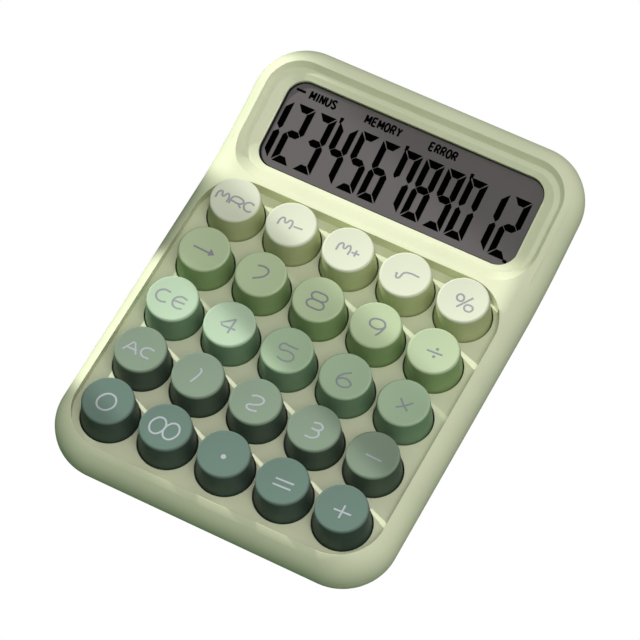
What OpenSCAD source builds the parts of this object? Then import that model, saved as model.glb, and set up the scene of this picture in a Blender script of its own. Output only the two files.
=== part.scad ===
// Desk calculator with twenty-five round keys and a raised display.
// Lengths are in millimetres. Inside the modules x runs across, y towards the display and z up, with
// z = 0 on the key deck and y = 0 on the middle row of keys. on_table() moves that frame so that the
// feet stand on z = 0 and the body is centred on the origin.

/* [Body] */
// From the wall of the sunken key deck to the side of the body
side_rim = 4.9; // [4.5:0.1:8]
// From the wall of the sunken key deck to the front edge of the body
front_rim = 4.46; // [4:0.02:8]
// From the display window to the rear edge, measured up the slope
rear_rim = 11.2; // [10.6:0.1:16]
// Corner radius of the body seen from above
corner_r = 17; // [14:0.5:22]
// Radius of the upper edge all round
edge_top_r = 10; // [7:0.25:10]
// Height of the straight band between the upper and lower roundings
side_band = 1; // [0.2:0.1:3]
// Wall thickness of both shells
wall = 2; // [1.6:0.1:2.4]
// From the middle row of keys to the bend line
bend_y = 57; // [56.5:0.5:60]
// From the bend line to either end of the bend's curve
bend_run = 12; // [9:0.5:13]

/* [Deck] */
// Depth of the sunken key deck below the body's top
deck_sink = 4.3; // [3:0.1:5]
// Thickness of the key deck
deck_t = 2; // [1.6:0.1:2.4]
// From an outer key's centre to the deck's wall at the sides and the front
deck_margin = 12; // [11.5:0.1:12.2]
// From the back row of keys to the deck's wall below the display
deck_back = 10.6; // [10:0.1:11.4]
// Corner radius of the sunken deck
deck_corner_r = 14; // [10:0.5:15]

/* [Keys] */
// Distance between key columns
pitch_x = 19.05; // [19.05:0.05:19.3]
// Distance between key rows
pitch_y = 19.27; // [19.05:0.01:19.5]
// Radius of a key's top
cap_top_r = 7.75; // [7.2:0.05:8]
// Radius of a key where it meets the deck
cap_base_r = 8.6; // [8.4:0.05:8.7]
// Height of a key's top above the deck
cap_rise = 9.65; // [9:0.05:11]
// Length of a key's skirt below the deck
cap_sink = 0.8; // [0.4:0.1:0.9]
// Wall of a keycap
cap_wall = 1.2; // [1:0.05:1.3]
// Thickness of a keycap's top
cap_roof = 1.8; // [1.4:0.1:2.2]
// Rounding of a keycap's upper edge
cap_edge_r = 0.6; // [0.3:0.05:0.8]
// Depth of the hollow in a keycap's top
cap_dish = 0.35; // [0.2:0.05:0.6]
// Gap between a key and its hole in the deck
key_gap = 0.45; // [0.3:0.05:0.5]
// Travel of a key
key_travel = 4; // [3:0.1:4]

/* [Switches] */
// Thickness of the switch plate
plate_t = 1.5; // [1.2:0.1:1.6]
// Side of a switch's body below the plate
switch_w = 13.9; // [13.6:0.1:14.2]
// Side of the flange that rests on the plate
flange_w = 15.4; // [15:0.1:15.6]
// Thickness of that flange
flange_t = 1; // [0.8:0.1:1]
// Side of a switch's upper housing
tower_w = 10.6; // [10:0.1:10.8]
// Height of the upper housing above the plate
tower_h = 6.6; // [6:0.1:6.8]
// Depth of a switch below the plate's top
switch_depth = 5; // [4.8:0.1:5]
// Side of the sliding stem
stem_w = 6.2; // [5.6:0.1:6.4]
// Height of the sliding stem inside the switch
stem_h = 3.6; // [3:0.1:4]
// Height of the cross on top of the stem
cross_h = 3.6; // [3:0.1:3.8]
// Length of each arm pair of the cross
cross_w = 4; // [3.8:0.1:4.2]
// Thickness of the cross's arms
cross_t = 1.2; // [1:0.1:1.4]
// Diameter of the post inside a keycap
post_d = 5.6; // [5.4:0.1:5.8]
// Thickness of the main circuit board
board_t = 1.6; // [1.2:0.2:1.6]
// Gap between the main circuit board and the floor
under_board = 1.9; // [0.5:0.1:5]
// Gap round sliding and fitted pieces
fit_gap = 0.15; // [0.1:0.05:0.25]

/* [Display] */
// Gap between the display holder and the rear screw posts
holder_gap = 1.2; // [0.4:0.1:6]
// Height of the display window, up the slope
window_l = 29.6; // [26:0.2:32]
// Corner radius of the window
window_r = 6; // [3:0.5:8]
// From the bend line to the window's lower edge
window_start = 0.2; // [0:0.1:1]
// Depth of the shallow ledge round the window, below the body's top
ledge_depth = 2.7; // [2.3:0.1:3]
// Width of the ledge beside the window
ledge_side = 5.25; // [4:0.05:5.4]
// Width of the ledge behind the window
ledge_back = 3.5; // [3:0.1:4]
// Width of the ledge in front of the window
ledge_front = 1.9; // [1.5:0.1:2.2]
// Corner radius of the ledge
ledge_r = 10; // [7:0.5:11]
// How far the ledge's wall leans out for each millimetre of its height
ledge_lean = 0.85; // [0.5:0.05:1]
// Width of the flat strip at the foot of that wall
strip_w = 1.7; // [1:0.1:2.5]
// Depth of the hollow round the window, below the body's top
dish_depth = 4; // [3.7:0.1:4.3]
// Width of that hollow's sloping side
dish_lean = 3; // [2:0.1:3.5]
// Thickness of the shell round the window
frame_t = 1.6; // [1.4:0.1:2]
// From the window's rim down to the lens
lens_sink = 0.6; // [0.4:0.1:0.8]
// Thickness of the lens flange behind the window
lens_flange_t = 1; // [0.8:0.1:1.2]
// Overlap of lens and display glass behind the shell, on each side
glass_overlap = 1.5; // [1.2:0.1:1.5]
// Thickness of the display glass
glass_t = 2.6; // [2:0.2:3]
// From the display glass to the display board
board_gap = 2; // [1.6:0.1:2.2]
// Thickness of the display board
display_board_t = 1.2; // [1:0.1:1.6]

/* [Base] */
// From the raised base's back to the rear edge of the body
base_inset = 6.34; // [5.5:0.02:8]
// Corner radius of the raised base
base_corner_r = 12; // [8:0.5:16]
// Height of the feet below the base
foot_h = 1.2; // [1:0.1:2]
// Diameter of a foot
foot_d = 9; // [7:0.5:11]
// Depth of the pockets that hold the feet
foot_pocket = 0.6; // [0.4:0.1:0.8]
// Distance between the feet across the body
feet_x = 72; // [60:1:76]
// From the middle row of keys to the front feet
feet_front = 38; // [34:0.5:42]
// From the middle row of keys to the rear feet
feet_rear = 60; // [54:0.5:61]

/* [Battery] */
// Diameter of the battery
battery_d = 10.3; // [10:0.1:10.5]
// Length of the battery without its button
battery_l = 43.4; // [42:0.1:44]
// From the battery's axis to the raised base's back
battery_inset = 10; // [8.5:0.1:11]
// Length of the battery's button
battery_button_l = 1; // [0.8:0.1:1.2]
// Length of the compressed battery spring
battery_spring_l = 1.8; // [1.6:0.1:2.4]
// Thickness of the battery door
door_t = 1.8; // [1.6:0.1:2]

/* [Fasteners] */
// Diameter of the case screws' heads
screw_head_d = 4.6; // [4:0.1:5]
// Height of the case screws' heads
screw_head_h = 1.8; // [1.4:0.1:2]
// Diameter of the case screws' shanks
screw_d = 2.2; // [2:0.1:2.6]
// Length of the case screws below the head
screw_l = 8; // [7:0.5:8]
// Outer diameter of the screw posts
screw_post_d = 6; // [5.8:0.1:6.2]
// From the body's side to the line of case screws
screw_inset = 4.8; // [4.7:0.1:5]

/* [Hidden] */
$fn = 64;

cols = 5;
rows = 5;
over = 1;                                       // how far a cutter runs past the face that it cuts
running_gap = 0.3;                              // between pieces that move past each other
deck_w = (cols - 1) * pitch_x + 2 * deck_margin;
deck_front = (rows - 1) / 2 * pitch_y + deck_margin;
deck_rear = (rows - 1) / 2 * pitch_y + deck_back;
hole_r = cap_base_r + key_gap;
cap_taper = (cap_base_r - cap_top_r) / cap_rise;
skirt_r = cap_base_r + cap_taper * cap_sink;

plate_drop = cap_sink + key_travel + running_gap + flange_t + 0.1;

// the body
body_w = deck_w + 2 * side_rim;
body_t = deck_sink + plate_drop + switch_depth + board_t + under_board + wall;
front_reach = deck_front + front_rim;
rear_len = window_start + window_l + rear_rim;
edge_low_r = body_t - edge_top_r - side_band;

// heights above the deck
rim_z = deck_sink;
base_z = rim_z - body_t;
floor_z = base_z + wall;
plate_z = -plate_drop;
tower_z = plate_z + tower_h;
board_z = plate_z - switch_depth;
cross_z = tower_z + cross_h;
roof_z = cap_rise - cap_roof;
deck_height = foot_h - base_z;                  // the deck's height above the table

// inside a switch
tower_roof = 1.2;
switch_floor = 1.2;
stem_top = tower_z - tower_roof - running_gap;

// the split between the two shells, as a depth below the body's top
split = edge_top_r + side_band / 2;

// the bend and the raised half
slope = atan2(7, 24);                           // the display half rises 7 in 24
bend_r = 7 * bend_run;                          // at this slope a curve seven times its run is tangent
bend_start = bend_y - bend_run;
rear_y = bend_y + (rear_len - edge_low_r) * cos(slope) + (body_t - edge_low_r) * sin(slope) + edge_low_r;
mid_y = (rear_y - front_reach) / 2;

// the display, as depths below the raised half's top
lens_top = dish_depth + lens_sink;
flange_top = dish_depth + frame_t;
glass_top = flange_top + lens_flange_t;
glass_low = glass_top + glass_t;
display_board_top = glass_low + board_gap;
display_board_low = display_board_top + display_board_t;
holder_wall = 1;
holder_rim = 4;                                 // width of the holder behind the glass
chip_w = 10;
screw_x = body_w / 2 - screw_inset;
window_w = 2 * (screw_x - screw_post_d / 2 - holder_gap - holder_wall - fit_gap - glass_overlap);
glass_w = window_w + 2 * glass_overlap;
glass_l = window_l + 2 * glass_overlap;
window_mid = window_start + window_l / 2;

// the ledge round the window, and the hollow inside it
ledge_x = window_w / 2 + ledge_side;
ledge_y0 = window_start - ledge_front;
ledge_y1 = window_start + window_l + ledge_back;
dish_x = ledge_x - strip_w;
dish_y0 = ledge_y0 + 0.2;
dish_y1 = ledge_y1 - strip_w;

// the case screws, as depths below the body's top
screw_rear = 24;                                // up the slope from the bend line
screw_tip = rim_z + deck_t + 1;
screw_seat = screw_tip + screw_l;
head_r = screw_head_d / 2 + running_gap;
boss_r = head_r + 1;

// the boards and the plate
board_half = screw_x - boss_r - 0.4;
board_front = -front_reach + 8;
board_rear = bend_y - 5;
plate_rear = key_y(0) + flange_w / 2 + 0.6;
plate_screw_d = 2;
plate_screw_l = 5;
plate_head_d = 3.8;
plate_head_h = 1.4;
plate_post_d = 4.8;
screw_gap = 0.05;                               // round a screw's shank in its post

// the raised base and the battery in it
base_w = body_w - 2 * edge_low_r - 4;
base_front = bend_y - 17;
base_rear = rear_y - base_inset;
battery_y = base_rear - battery_inset;
door_z = base_z + door_t;
tongue = 1;                                     // how far the door's tongues reach into their grooves
contact_t = 0.4;
contact_w = 8;
box_half = (battery_l + battery_button_l + battery_spring_l) / 2 + contact_t;
box_wall = 1.2;
box_front = battery_y - battery_d / 2 - 0.3;
door_front = box_front - 1.5;
door_half = box_half + box_wall;
rail_half = door_half + tongue + running_gap + 1.2;
rail_h = door_t + running_gap + 1.2;
battery_z = door_z + running_gap + battery_d / 2;
spring_x = -box_half + contact_t;
spring_wire = battery_spring_l / 6 + 0.04;         // radius of the spring's wire
battery_x = spring_x + battery_spring_l;

// the flat cable between the boards
ribbon_w = 20;
ribbon_t = 0.3;
socket_h = 2;
socket_l = 3;
ribbon_y0 = board_rear - 1;
ribbon_z0 = board_z + socket_h / 2;

function key_x(col) = (col - (cols - 1) / 2) * pitch_x;
function key_y(row) = ((rows - 1) / 2 - row) * pitch_y;

// a height on a surface that lies depth below the body's raised top, at the given y
function slope_z(y, depth) = rim_z + (y - bend_y) * tan(slope) - depth / cos(slope);

// ---- frames and shared shapes

module on_table() translate([0, -mid_y, deck_height]) children();

// y runs up the raised half from the bend line, and z = 0 is its top surface
module on_slope() translate([0, bend_y, rim_z]) rotate([slope, 0, 0]) children();

module at_key(row, col) translate([key_x(col), key_y(row), 0]) children();

module at_keys() for (row = [0 : rows - 1]) for (col = [0 : cols - 1]) at_key(row, col) children();

module at_corners(x, y) for (i = [-1, 1]) for (j = [-1, 1]) translate([i * x, j * y, 0]) children();

module rounded_2d(w, l, r) {
    square([w - 2 * r, l], center = true);
    square([w, l - 2 * r], center = true);
    at_corners(w / 2 - r, l / 2 - r) circle(r);
}

module rounded_block(w, l, r, h) linear_extrude(h) rounded_2d(w, l, r);

// a block with the given side view, drawn in y and z, across the whole width w
module side_view(w) translate([-w / 2, 0, 0]) rotate([90, 0, 90]) linear_extrude(w) children();

// a rounded rectangle whose walls lean out by lean over the height h
module leaning_block(w, l, r, lean, h) {
    x = w / 2;
    y = l / 2;
    at_corners(x - r, y - r) cylinder(r1 = r, r2 = r + lean, h = h);
    translate([0, y - r, 0]) rotate([90, 0, 0]) linear_extrude(l - 2 * r)
        polygon([[-x, 0], [x, 0], [x + lean, h], [-x - lean, h]]);
    side_view(w - 2 * r) polygon([[-y, 0], [y, 0], [y + lean, h], [-y - lean, h]]);
}

// the body's outline seen end on, from x = 0 out to x = r, shrunk by inset all round
module side_2d(r, inset) {
    x = r - inset;
    top_r = edge_top_r - inset;
    low_r = edge_low_r - inset;
    low_y = -body_t + edge_low_r;
    translate([0, -edge_top_r]) square([x - top_r, top_r]);
    translate([0, low_y]) square([x, -edge_top_r - low_y]);
    translate([0, -body_t + inset]) square([x - low_r, low_r]);
    intersection() {
        translate([x - top_r, -edge_top_r]) circle(top_r);
        translate([x - top_r, -edge_top_r]) square(top_r);
    }
    intersection() {
        translate([x - low_r, low_y]) circle(low_r);
        translate([x - low_r, low_y - low_r]) square(low_r);
    }
}

// the wall of a shell seen end on, between the heights low and high, where 0 is the body's top
module wall_2d(r, low, high) intersection() {
    translate([0, low]) square([r, high - low]);
    difference() {
        side_2d(r, 0);
        side_2d(r, wall);
    }
}

module section_2d(low, high) {
    wall_2d(body_w / 2, low, high);
    mirror([1, 0]) wall_2d(body_w / 2, low, high);
}

// a straight stretch of a shell along y, with its rounded end at y = len
module shell_run(len, low, high) {
    x = body_w / 2 - corner_r;
    y = len - corner_r;
    rotate([90, 0, 180]) linear_extrude(y) section_2d(low, high);
    translate([-x, y, 0]) rotate([90, 0, 90]) linear_extrude(2 * x) wall_2d(corner_r, low, high);
    translate([x, y, 0]) rotate_extrude(angle = 90, $fn = 96) wall_2d(corner_r, low, high);
    translate([-x, y, 0]) rotate([0, 0, 90]) rotate_extrude(angle = 90, $fn = 96)
        wall_2d(corner_r, low, high);
}

// Sweeps a section round the bend, in steps of which one ends where the raised half begins.
module bend() translate([0, bend_start, rim_z + bend_r]) rotate([0, 90, 0])
    rotate_extrude(angle = slope * 9 / 8, $fn = 354) translate([bend_r, 0]) rotate(90) children();

// The walls of a bent shell between the heights low and high, where 0 is the body's top. The bend is
// swept a little too far and trimmed where the raised half begins.
module shell(low, high) {
    translate([0, bend_start, rim_z]) rotate([0, 0, 180]) shell_run(bend_start + front_reach, low, high);
    intersection() {
        bend() section_2d(low, high);
        on_slope() translate([-body_w, bend_run - 2 * body_w, -body_w]) cube(2 * body_w);
    }
    on_slope() translate([0, bend_run, 0]) shell_run(rear_len - bend_run, low, high);
}

// ---- shells

// the case screws' axes, with z = 0 on the body's top
module at_case_screws() for (i = [-1, 1]) {
    for (row = [0, rows - 2])
        translate([i * screw_x, (key_y(row) + key_y(row + 1)) / 2, rim_z]) children();
    on_slope() translate([i * screw_x, screw_rear, 0]) children();
}

// the plate screws' axes, each between four keys
module at_plate_screws() for (row = [0, rows - 2]) for (col = [0, cols - 2])
    translate([(key_x(col) + key_x(col + 1)) / 2, (key_y(row) + key_y(row + 1)) / 2, 0]) children();

// the key deck's outline, grown by more all round
module deck_2d(more) translate([0, (deck_rear - deck_front) / 2])
    rounded_2d(deck_w + 2 * more, deck_front + deck_rear + 2 * more, deck_corner_r + more);

// half of the fill's section: from 1 mm under the body's skin down into the key deck
module fill_2d() intersection() {
    side_2d(body_w / 2, 1);
    translate([0, -deck_sink - deck_t / 2]) square([body_w, deck_sink]);
}

// Fills the corner between the key deck and the window, under the bend. Its upper face lies in the
// middle of the shell's wall.
module bend_fill() {
    translate([0, bend_start - 15, rim_z]) rotate([90, 0, 180]) linear_extrude(15) {
        fill_2d();
        mirror([1, 0]) fill_2d();
    }
    intersection() {
        bend() {
            fill_2d();
            mirror([1, 0]) fill_2d();
        }
        on_slope() translate([-body_w, bend_run - 1 - 2 * body_w, -body_w]) cube(2 * body_w);
    }
}

// What stands inside the upper shell: the deck's tray, the window's frame and the screw posts. Its
// upper faces end inside the shell's wall.
module upper_inside() {
    translate([0, 0, -deck_t]) linear_extrude(deck_t + rim_z - 3.4) deck_2d(wall);
    bend_fill();
    on_slope() translate([0, (ledge_y0 + ledge_y1) / 2, -flange_top]) rounded_block(2 * ledge_x + 3 * wall,
        ledge_y1 - ledge_y0 + 3 * wall, ledge_r + 1.5 * wall, flange_top - 2.4);
    side_view(2 * ledge_x + 3 * wall) polygon([[deck_rear - 2, -deck_t],
        [bend_y + 10, slope_z(bend_y + 10, flange_top)], [bend_y + 10, slope_z(bend_y + 10, 2.4)],
        [deck_rear - 2, rim_z - 3.4]]);
    at_case_screws() translate([0, 0, -split]) cylinder(d = screw_post_d, h = split - 5.2);
    at_plate_screws() translate([0, 0, plate_z]) cylinder(d = plate_post_d, h = plate_drop - deck_t / 2);
}

// a leaning block between y0 and y1, x to either side, standing at depth below the body's top
module frame_cut(x, y0, y1, r, depth, lean, h) translate([0, (y0 + y1) / 2, -depth])
    leaning_block(2 * x, y1 - y0, r, lean, h);

module upper_shell() color("#d9dfc2") on_table() difference() {
    union() {
        shell(-split, 0);
        upper_inside();
    }
    linear_extrude(bend_r) deck_2d(0);
    at_keys() translate([0, 0, -deck_t - over]) cylinder(r = hole_r, h = deck_t + 2 * over);
    on_slope() {
        frame_cut(ledge_x, ledge_y0, ledge_y1, ledge_r, ledge_depth, ledge_lean * (ledge_depth + 3),
            ledge_depth + 3);
        frame_cut(dish_x - dish_lean, dish_y0 + dish_lean, dish_y1 - dish_lean, window_r, dish_depth,
            dish_lean, dish_depth - ledge_depth);
        translate([0, window_mid, -flange_top - over])
            rounded_block(window_w, window_l, window_r, flange_top + over);
    }
    at_case_screws() translate([0, 0, -split - over])
        cylinder(d = screw_d + 2 * screw_gap, h = split + over - screw_tip + 0.3);
    at_plate_screws() translate([0, 0, plate_z - over])
        cylinder(d = plate_screw_d + 2 * screw_gap, h = plate_screw_l - plate_t + over + 0.3);
}

// The raised base under the rear half, shrunk by inset. Its roof lies parallel to the split, at the
// given depth below the body's top.
module base_block(inset, depth) intersection() {
    translate([0, (base_front + base_rear) / 2, base_z + inset]) rounded_block(base_w - 2 * inset,
        base_rear - base_front - 2 * inset, base_corner_r - inset, body_t);
    side_view(body_w) polygon([[base_front - over, base_z - over], [base_rear + over, base_z - over],
        [base_rear + over, slope_z(base_rear + over, depth)], [bend_y, slope_z(bend_y, depth)],
        [base_front - over, rim_z - depth]]);
}

// a boss round a case screw, with a wall round its head that ends inside the shell's wall
module screw_boss() {
    translate([0, 0, -screw_seat - 0.3]) cylinder(r = boss_r, h = screw_seat + 0.3 - split);
    intersection() {
        translate([0, 0, -body_t + wall / 2]) cylinder(r = boss_r, h = body_t - wall / 2 - screw_seat);
        translate([-boss_r - 0.3, -boss_r, -body_t]) cube([boss_r, 2 * boss_r, body_t]);
    }
}

// the walls round the battery, with saddles that hold it from above
module battery_box() intersection() {
    union() {
        for (i = [-1, 1]) {
            translate([i * (box_half + box_wall / 2), (box_front + base_rear) / 2, base_z])
                translate([-box_wall / 2, -(base_rear - box_front) / 2, 0])
                cube([box_wall, base_rear - box_front - wall / 2, body_t]);
            translate([i * (box_half + rail_half) / 2, 0, base_z])
                translate([-(rail_half - box_half) / 2, door_front - box_wall, 0])
                cube([rail_half - box_half, base_rear - door_front + box_wall - wall / 2, rail_h]);
            difference() {
                translate([i * box_half / 2 - 1, box_front, battery_z])
                    cube([2, base_rear - box_front - wall / 2, battery_d / 2 + 1.2]);
                translate([0, battery_y, battery_z]) rotate([0, 90, 0])
                    cylinder(d = battery_d + 2 * screw_gap, h = 2 * box_half, center = true);
            }
        }
        translate([-box_half - box_wall, box_front - box_wall, base_z])
            cube([2 * (box_half + box_wall), box_wall, body_t]);
    }
    side_view(body_w) polygon([[bend_y, base_z], [base_rear, base_z],
        [base_rear, slope_z(base_rear, display_board_low + 0.6)],
        [bend_y, slope_z(bend_y, display_board_low + 0.6)]]);
}

// the door's way out through the base, cut larger by gap on every side
module door_way(gap, front, back) {
    translate([-door_half - gap, front, base_z - over])
        cube([2 * (door_half + gap), back - front, over + door_t + gap]);
    translate([-door_half - tongue - gap, front, base_z + door_t / 2 - gap])
        cube([2 * (door_half + tongue + gap), back - front, door_t / 2 + 2 * gap]);
}

module lower_shell() color("#cfd6b8") on_table() difference() {
    union() {
        difference() {
            union() {
                shell(-body_t, -split);
                base_block(0, body_t - wall / 2);
            }
            base_block(wall, body_t - wall - 2);
        }
        for (i = [0, 1]) mirror([i, 0, 0]) {
            for (row = [0, rows - 2])
                translate([screw_x, (key_y(row) + key_y(row + 1)) / 2, rim_z]) screw_boss();
            on_slope() translate([screw_x, screw_rear, 0]) screw_boss();
        }
        at_corners(1.5 * pitch_x, 1.5 * pitch_y) translate([0, 0, base_z + wall / 2])
            cylinder(r = 2.2, h = board_z - board_t - base_z - wall / 2);
        battery_box();
    }
    at_case_screws() {
        translate([0, 0, -body_t - over]) cylinder(r = head_r, h = body_t + over - screw_seat);
        translate([0, 0, -body_t]) cylinder(d = screw_d + 2 * screw_gap, h = body_t);
    }
    door_way(running_gap, door_front - running_gap, base_rear + over);
    translate([-box_half, box_front, base_z - over])
        cube([2 * box_half, base_rear - wall - box_front, door_t + 2 * over]);
    at_feet() translate([0, 0, base_z - over]) cylinder(d = foot_d + 0.2, h = foot_pocket + over);
}

module at_feet() for (i = [-1, 1]) for (y = [-feet_front, feet_rear])
    translate([i * feet_x / 2, y, 0]) children();

module rubber_feet() color("#4a4a48") on_table() at_feet() translate([0, 0, base_z - foot_h]) {
    cylinder(d1 = foot_d - 0.8, d2 = foot_d, h = 0.4);
    translate([0, 0, 0.4]) cylinder(d = foot_d, h = foot_h + foot_pocket - 0.4);
}

// ---- display

module display_lens() color("#6b6464") on_table() on_slope() translate([0, window_mid, 0]) {
    translate([0, 0, -flange_top]) rounded_block(window_w - 0.3, window_l - 0.3, window_r - 0.15,
        flange_top - lens_top);
    translate([0, 0, -glass_top]) rounded_block(glass_w, glass_l, 2, lens_flange_t);
}

module display_glass() color("#7c827c") on_table() on_slope() translate([0, window_mid, -glass_low])
    rounded_block(glass_w, glass_l, 0.5, glass_t);

module display_holder() color("#3c3f42") on_table() on_slope()
    translate([0, window_mid, -display_board_top]) difference() {
        rounded_block(glass_w + 2 * fit_gap + 2 * holder_wall, glass_l + 2 * fit_gap + 2 * holder_wall, 3,
            display_board_top - flange_top);
        translate([0, 0, board_gap]) rounded_block(glass_w + 2 * fit_gap, glass_l + 2 * fit_gap,
            0.6, body_t);
        translate([0, 0, -over]) rounded_block(glass_w - 2 * holder_rim, glass_l - 2 * holder_rim, 1, body_t);
    }

// the strip's width, its distance from the holder's rim at the back, and what it stops short at each end
contact_strip_w = 2.4;
contact_strip_back = 0.5;
contact_strip_short = 2;
module contact_strip() color("#c98a92") on_table() on_slope()
    translate([0, window_mid + glass_l / 2 - holder_rim - contact_strip_back - contact_strip_w / 2,
        -display_board_top])
    translate([-glass_w / 2 + holder_rim + contact_strip_short, -contact_strip_w / 2, 0])
    cube([glass_w - 2 * (holder_rim + contact_strip_short), contact_strip_w, board_gap]);

module display_board() color("#3f7a4a") on_table() on_slope()
    translate([0, window_mid, -display_board_low]) rounded_block(glass_w, glass_l, 1, display_board_t);

module controller_chip() color("#2a2a2c") on_table() on_slope()
    translate([-glass_w / 2 + chip_w, window_mid, -display_board_low]) {
    translate([-chip_w / 2, -chip_w / 2, -1.4]) cube([chip_w, chip_w, 1.2]);
    for (i = [-4 : 4]) for (a = [0 : 3]) rotate([0, 0, 90 * a])
        translate([i - 0.2, chip_w / 2 - 0.5, -0.9]) cube([0.4, 1.6, 0.9]);
}

// ---- keyboard

module main_board() color("#3f7a4a") on_table()
    translate([0, (board_front + board_rear) / 2, board_z - board_t])
    rounded_block(2 * board_half, board_rear - board_front, 3, board_t);

module switch_plate() color("#8c9094") on_table() difference() {
    translate([0, 0, plate_z - plate_t])
        rounded_block(2 * board_half, 2 * plate_rear, 2, plate_t);
    at_keys() translate([0, 0, plate_z - plate_t - over])
        linear_extrude(plate_t + 2 * over) square(switch_w + 2 * fit_gap, center = true);
    at_plate_screws() translate([0, 0, plate_z - plate_t - over])
        cylinder(d = plate_screw_d + 2 * fit_gap, h = plate_t + 2 * over);
}

module switch_housing() difference() {
    union() {
        translate([0, 0, plate_z]) rounded_block(flange_w, flange_w, 1.5, flange_t);
        translate([0, 0, board_z]) rounded_block(switch_w, switch_w, 0.6, switch_depth);
        translate([0, 0, plate_z + flange_t]) rounded_block(tower_w, tower_w, 2.5, tower_h - flange_t);
    }
    translate([0, 0, board_z + switch_floor]) linear_extrude(tower_z - tower_roof - board_z - switch_floor)
        square(stem_w + 2 * running_gap, center = true);
    cylinder(d = post_d + 2 * running_gap, h = 2 * tower_h, center = true);
}

module switch_housings() color("#5b6b78") on_table() at_keys() switch_housing();

module plate_screws() color("#b9bcc0") on_table() at_plate_screws() translate([0, 0, plate_z - plate_t]) {
    cylinder(d = plate_screw_d, h = plate_screw_l);
    difference() {
        translate([0, 0, -plate_head_h]) cylinder(d = plate_head_d, h = plate_head_h);
        for (a = [0, 90]) rotate([0, 0, a]) translate([-1.1, -0.3, -plate_head_h - over])
            cube([2.2, 0.6, over + 0.7]);
    }
}

module case_screws() color("#b9bcc0") on_table() at_case_screws() translate([0, 0, -screw_seat]) {
    cylinder(d = screw_d, h = screw_l);
    difference() {
        translate([0, 0, -screw_head_h]) cylinder(d = screw_head_d, h = screw_head_h);
        for (a = [0, 90]) rotate([0, 0, a]) translate([-1.4, -0.35, -screw_head_h - over])
            cube([2.8, 0.7, over + 0.9]);
    }
}

// a keycap seen from the side: a hollow cone with a rounded upper edge and a dished top
module cap_2d() difference() {
    union() {
        polygon([[0, -cap_sink], [skirt_r, -cap_sink],
            [cap_top_r + cap_taper * cap_edge_r, cap_rise - cap_edge_r],
            [cap_top_r - cap_edge_r, cap_rise], [0, cap_rise]]);
        translate([cap_top_r - cap_edge_r, cap_rise - cap_edge_r]) circle(cap_edge_r);
    }
    translate([0, cap_rise - cap_dish + dish_r]) circle(dish_r);
    polygon([[-over, -cap_sink - over], [skirt_r - cap_wall + cap_taper * over, -cap_sink - over],
        [cap_top_r + cap_taper * cap_roof - cap_wall, roof_z], [-over, roof_z]]);
    translate([-2 * cap_top_r, -over]) square([2 * cap_top_r, cap_rise + 2 * over]);
}
dish_half = cap_top_r - cap_edge_r;
dish_r = (pow(dish_half, 2) + pow(cap_dish, 2)) / (2 * cap_dish);

module cross(w, t, h) for (a = [0, 90]) rotate([0, 0, a]) translate([-w / 2, -t / 2, 0]) cube([w, t, h]);

// a keycap with the post that grips the switch's cross, and the sliding stem under it
module key() {
    rotate_extrude($fn = 96) cap_2d();
    difference() {
        translate([0, 0, tower_z + 0.2]) cylinder(d = post_d, h = roof_z - tower_z - 0.1);
        translate([0, 0, tower_z])
            cross(cross_w + 2 * screw_gap, cross_t + 2 * screw_gap, cross_h + screw_gap);
    }
    translate([0, 0, stem_top]) cross(cross_w, cross_t, cross_z - stem_top);
    translate([-stem_w / 2, -stem_w / 2, stem_top - stem_h]) cube([stem_w, stem_w, stem_h]);
}

module keycap(row, col, tint) color(tint) on_table() at_key(row, col) key();

// ---- battery

module battery() color("#8a9a6a") on_table() translate([battery_x, battery_y, battery_z]) rotate([0, 90, 0]) {
    cylinder(d = battery_d, h = battery_l);
    cylinder(d = 3.8, h = battery_l + battery_button_l);
}

module battery_spring() color("#c0c3c6") on_table() translate([spring_x, battery_y, battery_z]) {
    translate([-contact_t, 0, 0]) contact_plate();
    rotate([0, 90, 0]) for (i = [0 : 2])
        translate([0, 0, spring_wire - 0.05 + i * (battery_spring_l - 2 * spring_wire + 0.05) / 2])
        rotate_extrude() translate([3.4 - 0.15 * i, 0]) circle(spring_wire, $fn = 32);
}

module contact_plate() translate([0, -contact_w / 2, -contact_w / 2]) cube([contact_t, contact_w, contact_w]);

module battery_tab() color("#c0c3c6") on_table() translate([box_half - contact_t, battery_y, battery_z])
    contact_plate();

module battery_door() color("#cfd6b8") on_table() difference() {
    union() {
        translate([-door_half, door_front, base_z]) cube([2 * door_half, base_rear - door_front, door_t]);
        translate([-door_half - tongue, door_front, base_z + door_t / 2])
            cube([2 * (door_half + tongue), base_rear - wall - door_front, door_t / 2]);
    }
    for (i = [0 : 4]) translate([-8, door_front + 3 + 2 * i, base_z - over]) cube([16, 1, over + 0.5]);
}

// ---- wiring

// how far a socket stands out beside the ribbon, and from the bend line up to the display board's socket
socket_side = 1;
socket_up = 3;
module ribbon_sockets() color("#e6e2d4") on_table() {
    socket_w = ribbon_w + 2 * socket_side;
    translate([-socket_w / 2, ribbon_y0 - socket_l, board_z]) cube([socket_w, socket_l, socket_h]);
    on_slope() translate([-socket_w / 2, socket_up, -display_board_low - socket_h])
        cube([socket_w, socket_l, socket_h]);
}

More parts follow.
